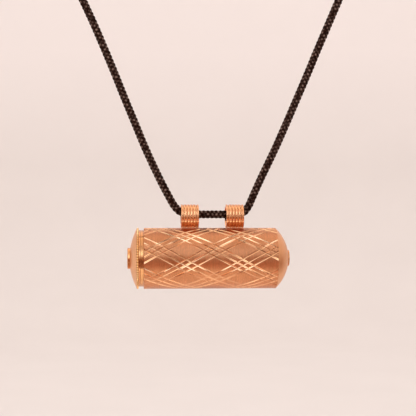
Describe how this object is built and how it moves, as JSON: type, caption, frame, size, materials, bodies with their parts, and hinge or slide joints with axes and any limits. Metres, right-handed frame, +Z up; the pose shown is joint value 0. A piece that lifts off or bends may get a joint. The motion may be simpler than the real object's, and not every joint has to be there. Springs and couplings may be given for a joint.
{
  "type": "amulet pendant",
  "caption": "Engraved copper cylinder amulet case with a domed screw cap and a rolled paper inside, hung by ribbed bails on a braided neck cord.",
  "frame": {"origin": "on the bails' common axis, midway between them, where the cord carries the pendant", "axes": "+Z up as it hangs, +X along the barrel from the screw cap to the closed end, -Y towards the viewer of the picture"},
  "size_m": [0.0799, 0.0158, 0.0881],
  "materials": {
    "cord": "matte",
    "engraved_copper": "satin",
    "satin_copper": "satin",
    "turned_copper": "polished",
    "bail_copper": "gloss",
    "paper": "matte",
    "tie_thread": "matte"
  },
  "bodies": {
    "neck_cord": {"cord_left": "cord", "cord_right": "cord", "knot_left": "cord", "knot_right": "cord"},
    "case": {"barrel_tube": "engraved_copper", "mouth_bush": "turned_copper", "end_dome": "satin_copper", "end_boss": "satin_copper", "bail_left": "bail_copper", "bail_right": "bail_copper"},
    "collar": {"cap_collar": "turned_copper"},
    "cap": {"cap_neck": "turned_copper", "cap_rim": "satin_copper", "cap_dome": "satin_copper", "cap_boss": "satin_copper"},
    "scroll": {"paper_scroll": "paper", "scroll_tie": "tie_thread"}
  },
  "joints": [
    {"name": "pendant_swing", "type": "hinge", "parent": "neck_cord", "child": "case", "pos_m": [0, 0, 0], "axis": [1, 0, 0], "range_deg": [-110, 110]},
    {"name": "cap_travel", "type": "slide", "parent": "case", "child": "collar", "axis": [-1, 0, 0], "range_m": [0, 0.005]},
    {"name": "cap_turn", "type": "hinge", "parent": "collar", "child": "cap", "pos_m": [-0.018, 0, -0.0108], "axis": [-1, 0, 0], "range_deg": [0, 1440]},
    {"name": "scroll_slide", "type": "slide", "parent": "case", "child": "scroll", "axis": [1, 0, 0], "range_m": [-0.0015, 0.002]}
  ],
  "couplings": [
    {"joint": "cap_travel", "follows": "cap_turn", "m_per_rad": 0.00019894}
  ]
}
